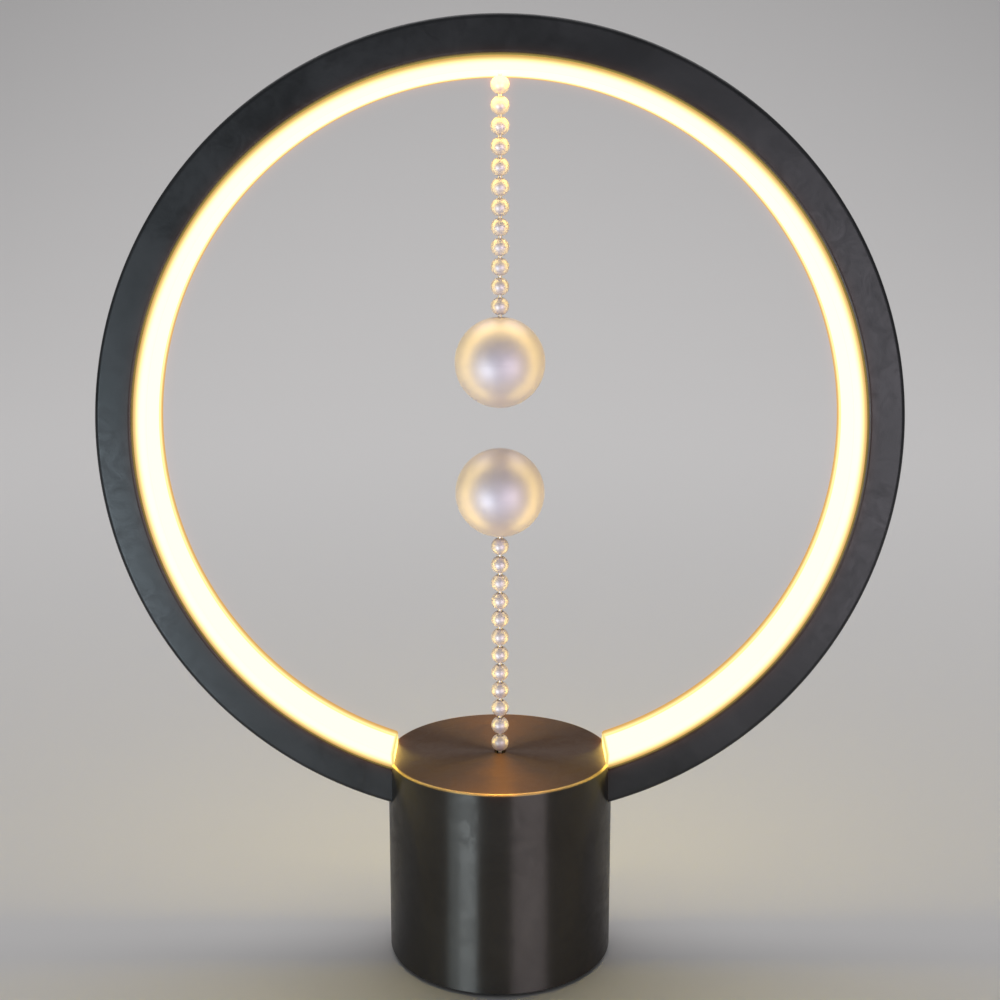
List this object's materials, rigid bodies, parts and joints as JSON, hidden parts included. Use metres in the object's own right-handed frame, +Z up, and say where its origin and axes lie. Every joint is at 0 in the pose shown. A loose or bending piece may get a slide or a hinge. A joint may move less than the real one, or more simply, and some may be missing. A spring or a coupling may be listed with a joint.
{
  "type": "magnetic balance lamp",
  "caption": "Upright ring light on a round foot, with two bead chains whose magnetic balls face each other across a gap and work the switch.",
  "frame": {"origin": "centre of the foot's underside, on the desk", "axes": "+Z up along the chains, +Y along the ring's axis towards the power socket, +X across the ring"},
  "size_m": [0.2, 0.0588, 0.2391],
  "materials": {
    "housing_charcoal": "satin",
    "frame_charcoal": "satin",
    "diffuser_glow": "frosted, lit",
    "chip_glow": "lit",
    "strip_white": "matte",
    "black_plastic": "matte",
    "pad_rubber": "matte",
    "weight_steel": "brushed",
    "screw_steel": "blackened",
    "shell_steel": "bright",
    "bush_brass": "turned",
    "board_green": "satin",
    "chip_black": "matte",
    "can_aluminium": "satin",
    "button_white": "satin",
    "plunger_white": "satin",
    "wire_white": "satin",
    "bead_pearl": "satin",
    "link_metal": "satin",
    "ball_pearl": "pearl",
    "magnet_nickel": "plated"
  },
  "bodies": {
    "base": {"base_housing": "housing_charcoal", "bottom_plate": "black_plastic", "plate_screws": "screw_steel", "foot_pad": "pad_rubber", "counterweight": "weight_steel", "weight_screws": "screw_steel", "ring_frame": "frame_charcoal", "ring_diffuser": "diffuser_glow", "led_strip": "strip_white", "led_chips": "chip_glow", "ring_end_plugs": "black_plastic", "ring_screws": "screw_steel", "ring_cradle": "black_plastic", "cradle_screws": "screw_steel", "guide_bush": "bush_brass", "circuit_board": "board_green", "board_screws": "screw_steel", "driver_chip": "chip_black", "capacitor": "can_aluminium", "chip_resistors": "chip_black", "socket_shell": "shell_steel", "socket_tongue": "chip_black", "switch_case": "chip_black", "switch_pins": "shell_steel", "strip_leads": "wire_white", "anchor_bridge": "weight_steel", "return_spring": "weight_steel"},
    "plunger": {"pull_plunger": "plunger_white"},
    "button": {"switch_button": "button_white"},
    "upper_hook": {"upper_stem": "link_metal"},
    "upper_bead": {"upper_first_bead": "bead_pearl"},
    "upper_run_1": {"upper_first_link": "link_metal", "upper_chain_1": "bead_pearl"},
    "upper_joint_a": {"upper_link_a": "link_metal"},
    "upper_run_2": {"upper_chain_2": "bead_pearl"},
    "upper_joint_b": {"upper_link_b": "link_metal"},
    "upper_run_3": {"upper_chain_3": "bead_pearl"},
    "upper_joint_c": {"upper_ball_link": "link_metal"},
    "upper_ball": {"upper_ball_cap": "ball_pearl", "upper_ball_face": "ball_pearl", "upper_magnet": "magnet_nickel", "upper_magnet_seat": "black_plastic"},
    "lower_hook": {"lower_stem": "link_metal"},
    "lower_bead": {"lower_first_bead": "bead_pearl"},
    "lower_run_1": {"lower_first_link": "link_metal", "lower_chain_1": "bead_pearl"},
    "lower_joint_a": {"lower_link_a": "link_metal"},
    "lower_run_2": {"lower_chain_2": "bead_pearl"},
    "lower_joint_b": {"lower_link_b": "link_metal"},
    "lower_run_3": {"lower_chain_3": "bead_pearl"},
    "lower_joint_c": {"lower_ball_link": "link_metal"},
    "lower_ball": {"lower_ball_cap": "ball_pearl", "lower_ball_face": "ball_pearl", "lower_magnet": "magnet_nickel", "lower_magnet_seat": "black_plastic"}
  },
  "joints": [
    {"name": "pull_switch", "type": "slide", "parent": "base", "child": "plunger", "axis": [0, 0, 1], "range_m": [-0.0003, 0], "stiffness_N_per_m": 60, "springref_m": -0.004, "deforming": ["return_spring"]},
    {"name": "switch_press", "type": "slide", "parent": "base", "child": "button", "axis": [0, 0, 1], "range_m": [-0.00024, 0]},
    {"name": "upper_swivel", "type": "hinge", "parent": "base", "child": "upper_hook", "pos_m": [0, 0, 0.2329], "axis": [0, 0, 1], "continuous": true},
    {"name": "upper_first_tilt", "type": "hinge", "parent": "upper_hook", "child": "upper_bead", "pos_m": [0, 0, 0.225], "axis": [-1, 0, 0], "range_deg": [-22, 22]},
    {"name": "upper_first_bend", "type": "hinge", "parent": "upper_bead", "child": "upper_run_1", "pos_m": [0, 0, 0.22244], "axis": [0, -1, 0], "range_deg": [-22, 22]},
    {"name": "upper_a_tilt", "type": "hinge", "parent": "upper_run_1", "child": "upper_joint_a", "pos_m": [0, 0, 0.20798], "axis": [-1, 0, 0], "range_deg": [-22, 22]},
    {"name": "upper_a_bend", "type": "hinge", "parent": "upper_joint_a", "child": "upper_run_2", "pos_m": [0, 0, 0.20572], "axis": [0, -1, 0], "range_deg": [-22, 22]},
    {"name": "upper_b_tilt", "type": "hinge", "parent": "upper_run_2", "child": "upper_joint_b", "pos_m": [0, 0, 0.1887], "axis": [-1, 0, 0], "range_deg": [-22, 22]},
    {"name": "upper_b_bend", "type": "hinge", "parent": "upper_joint_b", "child": "upper_run_3", "pos_m": [0, 0, 0.18644], "axis": [0, -1, 0], "range_deg": [-22, 22]},
    {"name": "upper_c_tilt", "type": "hinge", "parent": "upper_run_3", "child": "upper_joint_c", "pos_m": [0, 0, 0.16942], "axis": [-1, 0, 0], "range_deg": [-22, 22]},
    {"name": "upper_ball_swing", "type": "hinge", "parent": "upper_joint_c", "child": "upper_ball", "pos_m": [0, 0, 0.16643], "axis": [0, -1, 0], "range_deg": [-18, 18]},
    {"name": "lower_swivel", "type": "hinge", "parent": "plunger", "child": "lower_hook", "pos_m": [0, 0, 0.04995], "axis": [0, 0, 1], "continuous": true},
    {"name": "lower_first_tilt", "type": "hinge", "parent": "lower_hook", "child": "lower_bead", "pos_m": [0, 0, 0.05526], "axis": [1, 0, 0], "range_deg": [-22, 22]},
    {"name": "lower_first_bend", "type": "hinge", "parent": "lower_bead", "child": "lower_run_1", "pos_m": [0, 0, 0.05782], "axis": [0, 1, 0], "range_deg": [-22, 22]},
    {"name": "lower_a_tilt", "type": "hinge", "parent": "lower_run_1", "child": "lower_joint_a", "pos_m": [0, 0, 0.07228], "axis": [1, 0, 0], "range_deg": [-22, 22]},
    {"name": "lower_a_bend", "type": "hinge", "parent": "lower_joint_a", "child": "lower_run_2", "pos_m": [0, 0, 0.07454], "axis": [0, 1, 0], "range_deg": [-22, 22]},
    {"name": "lower_b_tilt", "type": "hinge", "parent": "lower_run_2", "child": "lower_joint_b", "pos_m": [0, 0, 0.09156], "axis": [1, 0, 0], "range_deg": [-22, 22]},
    {"name": "lower_b_bend", "type": "hinge", "parent": "lower_joint_b", "child": "lower_run_3", "pos_m": [0, 0, 0.09382], "axis": [0, 1, 0], "range_deg": [-22, 22]},
    {"name": "lower_c_tilt", "type": "hinge", "parent": "lower_run_3", "child": "lower_joint_c", "pos_m": [0, 0, 0.11084], "axis": [1, 0, 0], "range_deg": [-22, 22]},
    {"name": "lower_ball_swing", "type": "hinge", "parent": "lower_joint_c", "child": "lower_ball", "pos_m": [0, 0, 0.11383], "axis": [0, 1, 0], "range_deg": [-18, 18]}
  ],
  "couplings": [
    {"joint": "switch_press", "follows": "pull_switch", "ratio": 0.8}
  ]
}
